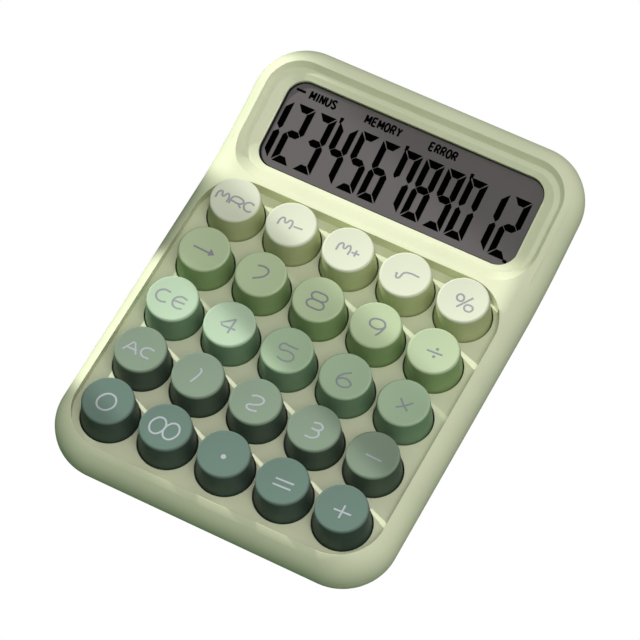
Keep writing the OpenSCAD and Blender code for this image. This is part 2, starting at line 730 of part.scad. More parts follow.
// The cable hangs in one arc from the main board's socket to the display board's. Each end stops
// half a millimetre short of its socket.
module ribbon_cable() color("#d8d4c4") on_table() {
    start = [ribbon_y0, ribbon_z0];
    end = [bend_y + socket_up * cos(slope) + (display_board_low + socket_h / 2) * sin(slope),
        rim_z + socket_up * sin(slope) - (display_board_low + socket_h / 2) * cos(slope)];
    chord = norm(end - start);
    r = chord * 0.9;
    tilt = atan2(end.y - start.y, end.x - start.x);
    half = asin(chord / 2 / r) - asin(0.5 / r);
    translate([0, (start.x + end.x) / 2, (start.y + end.y) / 2]) rotate([tilt, 0, 0])
        translate([-ribbon_w / 2, 0, sqrt(pow(r, 2) - pow(chord / 2, 2))])
        rotate([90, 0, 90]) linear_extrude(ribbon_w) intersection() {
            difference() {
                circle(r + ribbon_t / 2, $fn = 128);
                circle(r - ribbon_t / 2, $fn = 128);
            }
            polygon([[0, 0], [-2 * r * tan(half), -2 * r], [2 * r * tan(half), -2 * r]]);
        }
}

upper_shell();
lower_shell();
display_lens();
display_glass();
display_holder();
contact_strip();
display_board();
ribbon_cable();
ribbon_sockets();
main_board();
controller_chip();
switch_plate();
switch_housings();
battery();
battery_spring();
battery_tab();
battery_door();
case_screws();
plate_screws();
rubber_feet();
keycap(0, 0, "#e4e8cf");  // key_mrc
keycap(0, 1, "#e4e8cf");  // key_m_minus
keycap(0, 2, "#e4e8cf");  // key_m_plus
keycap(0, 3, "#e4e8cf");  // key_root
keycap(0, 4, "#e4e8cf");  // key_percent
keycap(1, 0, "#a3b48a");  // key_arrow
keycap(1, 1, "#a3b48a");  // key_7
keycap(1, 2, "#a3b48a");  // key_8
keycap(1, 3, "#a3b48a");  // key_9
keycap(1, 4, "#c8d9b0");  // key_divide
keycap(2, 0, "#bdd5b2");  // key_ce
keycap(2, 1, "#bdd5b2");  // key_4
keycap(2, 2, "#8fa582");  // key_5
keycap(2, 3, "#8fa582");  // key_6
keycap(2, 4, "#8fa582");  // key_multiply
keycap(3, 0, "#93a791");  // key_ac
keycap(3, 1, "#93a791");  // key_1
keycap(3, 2, "#93a791");  // key_2
keycap(3, 3, "#93a791");  // key_3
keycap(3, 4, "#93a791");  // key_minus
keycap(4, 0, "#6f8a7d");  // key_0
keycap(4, 1, "#6f8a7d");  // key_00
keycap(4, 2, "#6f8a7d");  // key_point
keycap(4, 3, "#6f8a7d");  // key_equals
keycap(4, 4, "#6f8a7d");  // key_plus
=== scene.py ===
import bpy
import math
from mathutils import Matrix, Vector


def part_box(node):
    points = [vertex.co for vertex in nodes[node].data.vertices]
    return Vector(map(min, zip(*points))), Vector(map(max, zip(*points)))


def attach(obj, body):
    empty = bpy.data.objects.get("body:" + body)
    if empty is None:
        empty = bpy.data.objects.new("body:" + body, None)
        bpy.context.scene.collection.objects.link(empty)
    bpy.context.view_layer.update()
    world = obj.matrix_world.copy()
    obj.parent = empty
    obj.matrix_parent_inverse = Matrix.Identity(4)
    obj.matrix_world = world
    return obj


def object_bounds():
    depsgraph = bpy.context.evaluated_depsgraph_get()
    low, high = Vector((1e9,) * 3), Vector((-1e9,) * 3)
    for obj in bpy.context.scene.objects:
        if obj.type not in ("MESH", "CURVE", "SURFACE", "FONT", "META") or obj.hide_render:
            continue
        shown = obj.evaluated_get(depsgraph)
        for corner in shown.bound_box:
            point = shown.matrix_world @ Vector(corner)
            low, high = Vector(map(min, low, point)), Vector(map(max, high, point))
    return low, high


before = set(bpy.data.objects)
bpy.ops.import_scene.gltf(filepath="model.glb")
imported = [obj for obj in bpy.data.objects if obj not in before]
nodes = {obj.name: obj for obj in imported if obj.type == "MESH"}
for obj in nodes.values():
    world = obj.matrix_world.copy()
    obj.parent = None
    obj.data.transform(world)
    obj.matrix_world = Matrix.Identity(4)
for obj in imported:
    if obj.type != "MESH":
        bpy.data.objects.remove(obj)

mm = 0.001
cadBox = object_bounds()

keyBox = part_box("key_5")
keyPlace = {"x": (keyBox[0][0] + keyBox[1][0]) / 2, "y": (keyBox[0][1] + keyBox[1][1]) / 2,
            "top": keyBox[1][2]}
capRise = 9.65  # millimetres from the key deck to the top of a key
deck = {"y": keyPlace["y"], "z": keyPlace["top"] - capRise * mm}  # middle row of keys, key deck
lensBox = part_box("display_lens")
displaySlope = math.atan2(7, 24)


def toLinear(hexColour):
    # sRGB hex to linear RGBA
    parts = [int(hexColour[i:i + 2], 16) / 255 for i in (1, 3, 5)]
    return [c / 12.92 if c <= 0.04045 else ((c + 0.055) / 1.055) ** 2.4 for c in parts] + [1]


def addNode(tree, kind, settings=None, links=None):
    node = tree.nodes.new(kind)
    for name, value in (settings or {}).items():
        if isinstance(name, int) or name in node.inputs:
            node.inputs[name].default_value = value
        else:
            setattr(node, name, value)
    for name, source in (links or {}).items():
        tree.links.new(source, node.inputs[name])
    return node


def newMaterial(name, roughness, ior=1.5, metallic=0.0):
    material = bpy.data.materials.new(name)
    material.use_nodes = True
    tree = material.node_tree
    shader = tree.nodes["Principled BSDF"]
    shader.inputs["Roughness"].default_value = roughness
    shader.inputs["IOR"].default_value = ior
    shader.inputs["Metallic"].default_value = metallic
    return material, tree, shader


def mouldedPlastic(name, colour, roughness, grainMm=0.12, grainDepth=0.02, mottle=0.03, edgeMm=0.35):
    # ABS or PBT from a spark-eroded tool: a fine even grain, and edges that are never quite sharp
    material, tree, shader = newMaterial(name, roughness)
    place = addNode(tree, "ShaderNodeTexCoord").outputs["Object"]
    cloud = addNode(tree, "ShaderNodeTexNoise", {"Scale": 60.0, "Detail": 3.0}, {"Vector": place})
    base = toLinear(colour)
    tint = addNode(tree, "ShaderNodeValToRGB", links={"Fac": cloud.outputs["Fac"]})
    tint.color_ramp.elements[0].position = 0.3
    tint.color_ramp.elements[1].position = 0.7
    tint.color_ramp.elements[0].color = [c * (1 - mottle) for c in base[:3]] + [1]
    tint.color_ramp.elements[1].color = [min(1, c * (1 + mottle)) for c in base[:3]] + [1]
    tree.links.new(tint.outputs["Color"], shader.inputs["Base Color"])
    grain = addNode(tree, "ShaderNodeTexNoise", {"Scale": 1 / (grainMm * mm), "Detail": 2.0},
                    {"Vector": place})
    soft = addNode(tree, "ShaderNodeBevel", {"samples": 6, "Radius": edgeMm * mm})
    bump = addNode(tree, "ShaderNodeBump", {"Strength": 0.35, "Distance": grainDepth * mm},
                   {"Height": grain.outputs["Fac"], "Normal": soft.outputs["Normal"]})
    tree.links.new(bump.outputs["Normal"], shader.inputs["Normal"])
    return material


def sheetMetal(name, colour, roughness):
    # rolled or plated steel, with faint marks along the sheet
    material, tree, shader = newMaterial(name, roughness, metallic=1.0)
    place = addNode(tree, "ShaderNodeTexCoord").outputs["Object"]
    stretch = addNode(tree, "ShaderNodeMapping", {"Scale": (1, 12, 12)}, {"Vector": place})
    marks = addNode(tree, "ShaderNodeTexNoise", {"Scale": 400.0, "Detail": 4.0},
                    {"Vector": stretch.outputs["Vector"]})
    tint = addNode(tree, "ShaderNodeValToRGB", links={"Fac": marks.outputs["Fac"]})
    base = toLinear(colour)
    tint.color_ramp.elements[0].color = [c * 0.85 for c in base[:3]] + [1]
    tint.color_ramp.elements[1].color = base
    tree.links.new(tint.outputs["Color"], shader.inputs["Base Color"])
    return material


# low and high: the window's grey at its foot and at its head; the head is painted a little lighter, as
# painted light where the lamp's dark bar falls
filmLook = {"low": "#605c5d", "high": "#635e5e", "roughness": 0.42, "gloss": 0.15,
            "halfWidth": 43.35, "halfHeight": 14.8, "corner": 6.0,  # millimetres
            # the black round the window is a painted shadow of the gap to the frame; the window's middle is
            # moved so that it is wider at the top and left
            "rim": "#100f10", "rimWidth": 0.5, "rimSoft": 0.1, "paintedShadowShift": (0.3, -0.45, 0)}


def polarisingFilm(name):
    # acrylic window over the display's polariser: dull grey, painted a little lighter towards its head as
    # painted light, and black round the edge as a painted shadow of the gap, wider at the top and left
    material, tree, shader = newMaterial(name, filmLook["roughness"])
    shader.inputs["Specular IOR Level"].default_value = filmLook["gloss"]
    low, high = Vector(lensBox[0]), Vector(lensBox[1])
    half = Vector((filmLook["halfWidth"], filmLook["halfHeight"], 0))
    place = addNode(tree, "ShaderNodeTexCoord").outputs["Object"]
    middle = (low + high) / 2 / mm + Vector(filmLook["paintedShadowShift"])
    centred = addNode(tree, "ShaderNodeMapping", {"Location": -middle, "Scale": (1 / mm, 1 / mm, 1 / mm)},
                      {"Vector": place})
    uphill = 1 / math.cos(displaySlope)
    along = addNode(tree, "ShaderNodeVectorMath", {"operation": "MULTIPLY", 1: (1, uphill, 0)},
                    {0: centred.outputs["Vector"]}).outputs[0]
    reach = addNode(tree, "ShaderNodeVectorMath", {"operation": "ABSOLUTE"}, {0: along}).outputs[0]
    corner = filmLook["corner"]
    straight = (half.x - corner, half.y - corner, 0)
    past = addNode(tree, "ShaderNodeVectorMath", {"operation": "SUBTRACT", 1: straight},
                   {0: reach}).outputs[0]
    outside = addNode(tree, "ShaderNodeVectorMath", {"operation": "MAXIMUM", 1: (0, 0, 0)},
                      {0: past}).outputs[0]
    far = addNode(tree, "ShaderNodeVectorMath", {"operation": "LENGTH"}, {0: outside}).outputs["Value"]
    # painted shadow: a black band round the window's edge
    paintedShadowMask = addNode(tree, "ShaderNodeMapRange",
                   {"From Min": corner - filmLook["rimWidth"] - filmLook["rimSoft"],
                    "From Max": corner - filmLook["rimWidth"] + filmLook["rimSoft"]}, {"Value": far})
    # painted light: the grey turns lighter up the window
    up = addNode(tree, "ShaderNodeSeparateXYZ", links={"Vector": along}).outputs["Y"]
    paintedLightUpwards = addNode(tree, "ShaderNodeMapRange", {"From Min": -half.y, "From Max": half.y}, {"Value": up})
    paintedLightGrey = addNode(tree, "ShaderNodeMix", {"data_type": "RGBA"})
    paintedLightGrey.inputs[6].default_value = toLinear(filmLook["low"])
    paintedLightGrey.inputs[7].default_value = toLinear(filmLook["high"])
    tree.links.new(paintedLightUpwards.outputs["Result"], paintedLightGrey.inputs[0])
    rim = addNode(tree, "ShaderNodeMix", {"data_type": "RGBA"})
    rim.inputs[7].default_value = toLinear(filmLook["rim"])
    tree.links.new(paintedLightGrey.outputs[2], rim.inputs[6])
    tree.links.new(paintedShadowMask.outputs["Result"], rim.inputs[0])
    tree.links.new(rim.outputs[2], shader.inputs["Base Color"])
    return material


caseLook = {"colour": "#dadebd", "roughness": 0.48}
caseAbs = mouldedPlastic("caseAbs", caseLook["colour"], caseLook["roughness"])
switchNylon = mouldedPlastic("switchNylon", "#5b6b78", 0.5)
holderPlastic = mouldedPlastic("holderPlastic", "#2c2e30", 0.55)
socketNylon = mouldedPlastic("socketNylon", "#e6e2d4", 0.5)
ribbonFilm = mouldedPlastic("ribbonFilm", "#d8d4c4", 0.35)
footRubber = mouldedPlastic("footRubber", "#4a4a48", 0.85, 0.3, 0.05)
stripRubber = mouldedPlastic("stripRubber", "#c98a92", 0.8)
boardLaminate = mouldedPlastic("boardLaminate", "#2f6b3f", 0.3, 0.4, 0.01, 0.08)
displayGlass = mouldedPlastic("displayGlass", "#7c827c", 0.1, 1.0, 0.0)
displayFilm = polarisingFilm("displayFilm")
batterySleeve = mouldedPlastic("batterySleeve", "#8a9a6a", 0.3)
plateSteel = sheetMetal("plateSteel", "#9a9da1", 0.35)
screwSteel = sheetMetal("screwSteel", "#b9bcc0", 0.28)
springSteel = sheetMetal("springSteel", "#c9ccd0", 0.2)

looks = {
    "upper_shell": caseAbs, "lower_shell": caseAbs, "battery_door": caseAbs, "display_lens": displayFilm,
    "display_glass": displayGlass, "display_holder": holderPlastic, "contact_strip": stripRubber,
    "display_board": boardLaminate, "ribbon_cable": ribbonFilm, "ribbon_sockets": socketNylon,
    "main_board": boardLaminate, "controller_chip": holderPlastic, "switch_plate": plateSteel,
    "switch_housings": switchNylon, "battery": batterySleeve, "battery_spring": springSteel,
    "battery_tab": springSteel, "case_screws": screwSteel, "plate_screws": screwSteel,
    "rubber_feet": footRubber,
}

capPaintedShade = {"low": 0.9, "high": 0.35}  # millimetres below the key's top, where the painted shade of the side takes over
capLooks = {  # top colour, side colour; the side colour is painted shade, darker and greener than the top
    # the divide key's colour is the sage plastic painted a little darker as shade, and the CE and 4 keys'
    # colour is the olive plastic painted lighter as light
    "cream": ("#d2d6bf", "#b5bc8b"), "sage": ("#b5c59d", "#86a169"), "sagePaintedShade": ("#b3c39e", "#86a169"),
    "olivePaintedLight": ("#adc3a6", "#6d8c6b"), "olive": ("#a3ba99", "#6d8c6b"), "green": ("#7a8b77", "#405142"),
    "teal": ("#60766b", "#36483f"),
}


def capPlastic(name, topColour, paintedSideShade):
    # PBT with a satin grain; down the sides the colour turns darker and greener, as painted shade
    material = mouldedPlastic(name, topColour, 0.6, 0.15, 0.015, 0.02, 0.25)
    tree = material.node_tree
    shader = tree.nodes["Principled BSDF"]
    tint = shader.inputs["Base Color"].links[0].from_socket
    place = addNode(tree, "ShaderNodeTexCoord").outputs["Object"]
    height = addNode(tree, "ShaderNodeSeparateXYZ", links={"Vector": place}).outputs["Z"]
    # painted shade: the darker side colour takes over below the top
    depth = addNode(tree, "ShaderNodeMapRange", {"From Min": keyPlace["top"] - capPaintedShade["low"] * mm,
                                                 "From Max": keyPlace["top"] - capPaintedShade["high"] * mm},
                    {"Value": height})
    mix = addNode(tree, "ShaderNodeMix", {"data_type": "RGBA"})
    mix.inputs[6].default_value = toLinear(paintedSideShade)
    tree.links.new(depth.outputs["Result"], mix.inputs[0])
    tree.links.new(tint, mix.inputs[7])
    tree.links.new(mix.outputs[2], shader.inputs["Base Color"])
    return material


capMaterials = {name: capPlastic(name + "Cap", *colours) for name, colours in capLooks.items()}
keyRows = [
    [("mrc", "cream"), ("m_minus", "cream"), ("m_plus", "cream"), ("root", "cream"), ("percent", "cream")],
    # the divide key takes a copy of sage painted darker, and CE and 4 a copy of olive painted lighter
    [("arrow", "sage"), ("7", "sage"), ("8", "sage"), ("9", "sage"), ("divide", "sagePaintedShade")],
    [("ce", "olivePaintedLight"), ("4", "olivePaintedLight"), ("5", "olive"), ("6", "olive"), ("multiply", "olive")],
    [("ac", "green"), ("1", "green"), ("2", "green"), ("3", "green"), ("minus", "green")],
    [("0", "teal"), ("00", "teal"), ("point", "teal"), ("equals", "teal"), ("plus", "teal")],
]
for row in keyRows:
    for name, look in row:
        looks["key_" + name] = capMaterials[look]

bpy.ops.object.select_all(action="DESELECT")
for name, material in looks.items():
    node = nodes[name]
    node.data.materials.clear()
    node.data.materials.append(material)
print("materials done")

legend = {"width": 0.6, "lift": 0.02, "thick": 0.06, "dishHalf": 7.15, "dish": 0.35,
          "pitchX": 19.05, "pitchY": 19.27}
# strokes in millimetres from the key's centre; one point with a radius is a dot, a leading "-" keeps corners
legendStrokes = {
    "mrc": [[(-5.7, -1.9), (-5.5, 0.6), (-4.8, 1.0), (-3.9, -0.5), (-2.8, 1.0), (-2.2, 0.5), (-1.9, -1.9)],
            [(-1.2, -1.9), (-1.1, 0.5), (-0.5, 1.1), (1.8, 1.1), (2.7, 0.4), (2.3, -0.5), (-1.0, -0.6)],
            [(1.1, -0.6), (2.8, -1.9)],
            [(6.2, 0.7), (4.6, 1.1), (3.4, 0.0), (3.9, -1.6), (5.3, -2.1), (6.3, -1.7)]],
    "m_minus": [[(-3.9, -1.7), (-3.6, 0.8), (-2.9, 1.2), (-1.9, -0.2), (-0.7, 1.3), (0.0, 0.8), (0.1, -1.7)],
                [(0.9, -0.3), (3.8, -0.1)]],
    "m_plus": [[(-3.3, -1.7), (-3.0, 0.9), (-2.3, 1.3), (-1.3, -0.2), (-0.2, 1.4), (0.4, 0.9), (0.6, -1.7)],
               [(1.3, -0.4), (3.8, -0.2)], [(2.5, 0.9), (2.6, -1.4)]],
    "root": [[(-2.6, -0.6), (-2.1, -2.0), (-1.5, -1.9), (-0.7, 0.4), (0.6, 1.0), (4.0, 1.0)],
             [(-2.6, -0.7, 0.42)]],
    "percent": [[(-1.1, 1.6), (-0.2, 0.9), (-0.2, -0.3), (-1.1, -0.7), (-2.1, -0.1), (-2.1, 1.1),
                 (-1.1, 1.6)],
                [(2.3, 2.0), (-0.9, -2.9)],
                [(2.6, -0.7), (3.7, -1.3), (3.6, -2.5), (2.5, -3.0), (1.4, -2.4), (1.4, -1.2), (2.6, -0.7)]],
    "arrow": [[(-3.3, -0.4), (0.0, -0.5), (3.4, -0.7)], "-", [(1.9, 0.6), (3.5, -0.6), (2.0, -1.4)],
              "-", [(2.0, 0.0), (3.1, -0.6), (2.1, -1.0)]],
    "7": [[(-2.1, 2.3), (0.1, 2.7), (1.7, 1.8), (1.5, 0.2), (-1.5, -2.4)]],
    "8": [[(0.2, 2.3), (2.4, 1.6), (2.4, 0.3), (0.2, -0.4), (-2.2, 0.3), (-2.2, 1.6), (0.2, 2.3)],
          [(0.2, -0.4), (2.6, -1.2), (2.6, -2.6), (0.2, -3.3), (-2.4, -2.6), (-2.4, -1.2), (0.2, -0.4)]],
    "9": [[(2.9, 0.6), (1.9, 2.0), (-0.1, 2.2), (-1.8, 1.3), (-1.8, -0.2), (-0.3, -1.0), (2.0, -0.5),
           (2.9, 0.8)],
          [(2.9, 0.8), (2.3, -1.6), (1.5, -3.2)]],
    "divide": [[(-2.0, -0.5), (2.9, -0.2)], [(0.7, 1.0, 0.5)], [(0.8, -1.7, 0.5)]],
    "ce": [[(-1.5, 1.7), (-3.8, 1.6), (-5.1, 0.0), (-4.5, -1.8), (-2.8, -2.4), (-1.3, -1.9)],
           [(4.2, 1.4), (2.1, 1.7), (0.5, 0.4), (0.6, -1.3), (1.9, -2.3), (4.1, -2.0)],
           [(0.4, -0.3), (4.1, -0.1)]],
    "4": ["-", [(1.0, 2.3), (-2.5, -0.5), (-1.9, -1.2), (2.4, -1.0)], [(1.0, 2.4), (0.8, -2.9)]],
    "5": [[(2.9, 1.6), (0.0, 1.6), (-2.0, 1.5), (-2.3, -0.3), (0.6, -0.2), (2.7, -1.0), (2.8, -2.6),
           (0.6, -3.6), (-1.7, -3.2)]],
    "6": [[(1.3, 1.9), (-1.0, 0.2), (-1.7, -1.6), (-0.7, -3.3), (1.5, -3.4), (2.8, -2.2), (2.0, -1.0),
           (-0.3, -0.8), (-1.6, -1.8)]],
    "multiply": [[(-1.4, 1.0), (0.5, -0.8), (2.2, -2.1)], [(2.6, 1.1), (0.6, -0.9), (-1.4, -2.4)]],
    "ac": ["-", [(-4.7, -2.3), (-2.9, 1.1), (-2.3, 1.1), (-0.4, -2.3)], [(-3.8, -1.1), (-0.8, -0.9)],
           [(4.0, 1.2), (1.9, 1.3), (0.5, 0.0), (1.2, -1.6), (3.7, -1.9)]],
    "1": [[(-0.4, 2.4), (0.3, 1.7), (0.0, -0.4), (-0.9, -2.9)]],
    "2": [[(-1.9, 1.2), (-0.4, 1.9), (1.9, 1.5), (2.1, 0.4), (0.2, -1.1), (-1.7, -2.1), (-1.2, -3.0),
           (1.8, -2.8)]],
    "3": [[(-0.9, 1.6), (1.2, 2.0), (2.3, 0.9), (1.5, -0.1), (-0.7, -0.3)],
          [(1.5, -0.2), (2.2, -1.6), (1.1, -3.0), (-1.4, -3.3)]],
    "minus": [[(-2.0, -0.6), (3.1, -0.8)]],
    "0": [[(0.3, 2.3), (2.2, 0.9), (2.0, -1.9), (-0.6, -3.4), (-2.7, -2.0), (-2.2, 1.0), (0.3, 2.3)]],
    "00": [[(-2.0, 2.3), (-0.3, 0.9), (-0.5, -1.9), (-2.5, -3.4), (-4.3, -2.0), (-4.0, 1.0), (-2.0, 2.3)],
           [(2.4, 2.3), (4.1, 0.9), (3.9, -1.9), (1.9, -3.4), (0.1, -2.0), (0.4, 1.0), (2.4, 2.3)]],
    "point": [[(0.3, -0.8, 0.8)]],
    "equals": [[(-2.2, 0.1), (3.5, 0.4)], [(-2.2, -1.9), (3.4, -1.6)]],
    "plus": [[(-2.0, -1.1), (3.4, -0.8)], [(0.5, 1.3), (0.6, -3.2)]],
}
dishRadius = (legend["dishHalf"] ** 2 + legend["dish"] ** 2) / (2 * legend["dish"])


def printInk(name, colour):
    # pad-printed ink: flat in colour, a little smoother than the cap under it
    return mouldedPlastic(name, colour, 0.4, 0.2, 0.005, 0.06, 0.02)


inkColours = {"greyLilacInk": "#99999e", "greyLilacInk2": "#898b8f", "greyLilacInk3": "#8d9395",
              "silverInk": "#a0a6aa", "silverInk2": "#a4aaae"}  # one for each row, from the back
legendInks = [printInk(name, colour) for name, colour in inkColours.items()]


def onDish(x, y):
    # height of the dished top below the key's rim, in millimetres
    return -legend["dish"] + dishRadius - math.sqrt(dishRadius ** 2 - x * x - y * y)


def drawStrokes(name, strokes, width):
    # round-ended lines in millimetres round the middle, as one mesh; bevelled curves, so that bends stay even
    bpy.ops.object.select_all(action="DESELECT")
    curve = bpy.data.curves.new(name, "CURVE")
    curve.dimensions = "3D"
    curve.bevel_depth = width / 2
    curve.bevel_resolution = 2
    curve.resolution_u = 6
    curve.use_fill_caps = True
    dots = []
    corners = False
    for stroke in strokes:
        if stroke == "-":
            corners = True
            continue
        if len(stroke) == 1:
            dots.append(stroke[0])
            continue
        spline = curve.splines.new("BEZIER")
        closed = stroke[0] == stroke[-1]
        points = stroke[:-1] if closed else stroke
        spline.bezier_points.add(len(points) - 1)
        spline.use_cyclic_u = closed
        for point, (x, y) in zip(spline.bezier_points, points):
            point.co = (x, y, 0)
            point.handle_left_type = point.handle_right_type = "VECTOR" if corners else "AUTO"
        corners = False
    line = bpy.data.objects.new(name, curve)
    bpy.context.collection.objects.link(line)
    parts = []
    if curve.splines:
        line.select_set(True)
        bpy.context.view_layer.objects.active = line
        bpy.ops.object.convert(target="MESH")
        parts.append(bpy.context.object)
    else:
        bpy.data.objects.remove(line)
    for x, y, radius in dots:
        bpy.ops.mesh.primitive_uv_sphere_add(segments=24, ring_count=8, radius=radius, location=(x, y, 0))
        dot = bpy.context.object
        bpy.ops.object.transform_apply(location=True, rotation=False, scale=False)
        for vertex in dot.data.vertices:
            vertex.co.z *= width / 2 / radius
        parts.append(dot)
    bpy.ops.object.select_all(action="DESELECT")
    for part in parts:
        part.select_set(True)
    bpy.context.view_layer.objects.active = parts[0]
    if len(parts) > 1:
        bpy.ops.object.join()
    piece = bpy.context.object
    piece.name = name
    return piece


def addLegend(name, strokes, centre, ink):
    piece = drawStrokes("legend_" + name, strokes, legend["width"])
    for vertex in piece.data.vertices:
        x, y, z = vertex.co
        z = onDish(x, y) + legend["lift"] + z / legend["width"] * legend["thick"]
        vertex.co = Vector((centre[0] + x * mm, centre[1] + y * mm, keyPlace["top"] + z * mm))
    piece.data.materials.append(ink)
    bpy.ops.object.shade_smooth_by_angle(angle=math.radians(40))
    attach(piece, "key_" + name)


for rowNumber, row in enumerate(keyRows):
    for column, (name, look) in enumerate(row):
        centre = ((column - 2) * legend["pitchX"] * mm, deck["y"] + (2 - rowNumber) * legend["pitchY"] * mm)
        addLegend(name, legendStrokes[name], centre, legendInks[rowNumber])
print("legends done")

# the display: its sizes and places are in millimetres, across from the middle and up the slope from the bend
display = {"bend": 57.0, "top": 4.3, "depth": 4.6, "lift": 0.03, "thick": 0.03}
digit = {"pitch": 7.33, "last": 37.85, "middle": 12.6, "width": 6.1, "height": 19.6, "upright": 2.0,
         "bar": 2.3, "gap": 0.24, "shown": "123456789012"}
displayMarks = {"ticks": (-23.9, -1.6, 20.3), "tickHigh": 22.6, "point": (40.9, 2.3),
                "minus": (-41.1, 25.9, -38.0, 26.65)}
onDisplay = (Matrix.Translation((0, deck["y"] + display["bend"] * mm, deck["z"] + display["top"] * mm))
             @ Matrix.Rotation(displaySlope, 4, "X") @ Matrix.Scale(mm, 4))
segmentsOf = {"0": "abcdef", "1": "bc", "2": "abged", "3": "abgcd", "4": "fgbc", "5": "afgcd", "6": "afgedc",
              "7": "fabc", "8": "abcdefg", "9": "abfgcd"}


def digitSegments():
    # outlines of the seven segments round the digit's middle
    w, h = digit["width"] / 2, digit["height"] / 2
    t, b, g = digit["upright"], digit["bar"], digit["gap"]
    bar = [(-w + g * 1.6, h), (w - g * 1.6, h), (w - t - g * 0.6, h - b), (-w + t + g * 0.6, h - b)]
    upright = [(w, h - g * 1.2), (w, 1.1), (w - t * 0.35, g / 2), (w - t, b / 2 + g), (w - t, h - b - g)]
    tip, flat = w - t * 0.44, w - t
    middle = [(-tip, 0), (-flat, b / 2), (flat, b / 2), (tip, 0), (flat, -b / 2), (-flat, -b / 2)]
    flipX = lambda shape: [(-x, y) for x, y in reversed(shape)]
    flipY = lambda shape: [(x, -y) for x, y in reversed(shape)]
    return {"a": bar, "b": upright, "c": flipY(upright), "d": flipY(bar), "e": flipX(flipY(upright)),
            "f": flipX(upright), "g": middle}


def addShapes(name, shapes):
    # flat shapes given in millimetres up the display, laid on the glass with a little thickness
    mesh = bpy.data.meshes.new(name)
    points = [(x, y, 0) for shape in shapes for x, y in shape]
    faces, start = [], 0
    for shape in shapes:
        area = sum(a[0] * b[1] - b[0] * a[1] for a, b in zip(shape, shape[1:] + shape[:1]))
        face = list(range(start, start + len(shape)))
        faces.append(face if area > 0 else face[::-1])
        start += len(shape)
    mesh.from_pydata(points, [], faces)
    piece = bpy.data.objects.new(name, mesh)
    bpy.context.collection.objects.link(piece)
    return layOnGlass(piece)


def layOnGlass(piece):
    bpy.ops.object.select_all(action="DESELECT")
    piece.select_set(True)
    bpy.context.view_layer.objects.active = piece
    bpy.ops.object.mode_set(mode="EDIT")
    bpy.ops.mesh.select_all(action="SELECT")
    bpy.ops.mesh.extrude_region_move(TRANSFORM_OT_translate={"value": (0, 0, display["thick"])})
    bpy.ops.mesh.select_all(action="SELECT")
    bpy.ops.mesh.normals_make_consistent(inside=False)
    bpy.ops.object.mode_set(mode="OBJECT")
    piece.data.transform(onDisplay @ Matrix.Translation((0, 0, -display["depth"] + display["lift"])))
    piece.data.materials.clear()
    piece.data.materials.append(liquidCrystal)
    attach(piece, "body")
    return piece


displayWords = {"stroke": 0.62, "low": 24.95, "high": 27.5, "gap": 0.62, "wide": {"I": 0.35, "M": 1.2},
                "spans": {"MINUS": (-36.5, -27.3), "MEMORY": (-17.5, -5.1), "ERROR": (4.2, 13.7)}}
# letters in a box one wide and one high; a leading "-" keeps corners
displayLetters = {
    "M": ["-", [(0, 0), (0, 1), (0.5, 0.25), (1, 1), (1, 0)]], "I": ["-", [(0.5, 0), (0.5, 1)]],
    "N": ["-", [(0, 0), (0, 1), (1, 0), (1, 1)]], "U": [[(0, 1), (0, 0.3), (0.5, 0), (1, 0.3), (1, 1)]],
    "S": [[(1, 0.85), (0.5, 1), (0, 0.78), (0.5, 0.52), (1, 0.25), (0.5, 0), (0, 0.15)]],
    "E": ["-", [(1, 1), (0, 1), (0, 0), (1, 0)], "-", [(0, 0.5), (0.85, 0.5)]],
    "O": [[(0.5, 1), (1, 0.7), (1, 0.3), (0.5, 0), (0, 0.3), (0, 0.7), (0.5, 1)]],
    "R": ["-", [(0, 0), (0, 1), (0.8, 1), (1, 0.8), (0.8, 0.48), (0, 0.48)], "-", [(0.5, 0.48), (1, 0)]],
    "Y": ["-", [(0, 1), (0.5, 0.5), (1, 1)], "-", [(0.5, 0.5), (0.5, 0)]],
}


def addWord(word, left, right):
    low, high = displayWords["low"], displayWords["high"]
    gap = displayWords["gap"]
    widths = [displayWords["wide"].get(letter, 1.0) for letter in word]
    unit = (right - left - displayWords["stroke"]) / (sum(widths) + gap * (len(word) - 1))
    x = left + displayWords["stroke"] / 2
    strokes = []
    straight = False
    for letter, wide in zip(word, widths):
        for stroke in displayLetters[letter]:
            if stroke == "-":
                straight = True
                continue
            placed = [(x + px * wide * unit, low + py * (high - low)) for px, py in stroke]
            if straight:
                # a bevelled curve thins at a sharp corner, so each straight side is a line of its own
                for start, end in zip(placed, placed[1:]):
                    strokes += ["-", [start, end]]
            else:
                strokes.append(placed)
            straight = False
        x += (wide + gap) * unit
    piece = drawStrokes("word_" + word.lower(), strokes, displayWords["stroke"])
    height = -display["depth"] + display["lift"] + display["thick"] / 2
    piece.data.transform(onDisplay @ Matrix.Translation((0, 0, height))
                         @ Matrix.Diagonal((1, 1, display["thick"] / displayWords["stroke"], 1)))
    piece.data.materials.append(liquidCrystal)
    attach(piece, "body")


# switched liquid crystal: black behind the polariser, so it doesn't shine
liquidCrystal = mouldedPlastic("liquidCrystal", "#020202", 0.5, 1.0, 0.0, 0.2, 0.01)
liquidCrystal.node_tree.nodes["Principled BSDF"].inputs["Specular IOR Level"].default_value = 0.0
segments = digitSegments()
for number, character in enumerate(digit["shown"]):
    x = digit["last"] - (len(digit["shown"]) - 1 - number) * digit["pitch"]
    addShapes("digit_%02d" % (number + 1), [[(x + px, digit["middle"] + py) for px, py in segments[s]]
                                            for s in segmentsOf[character]])


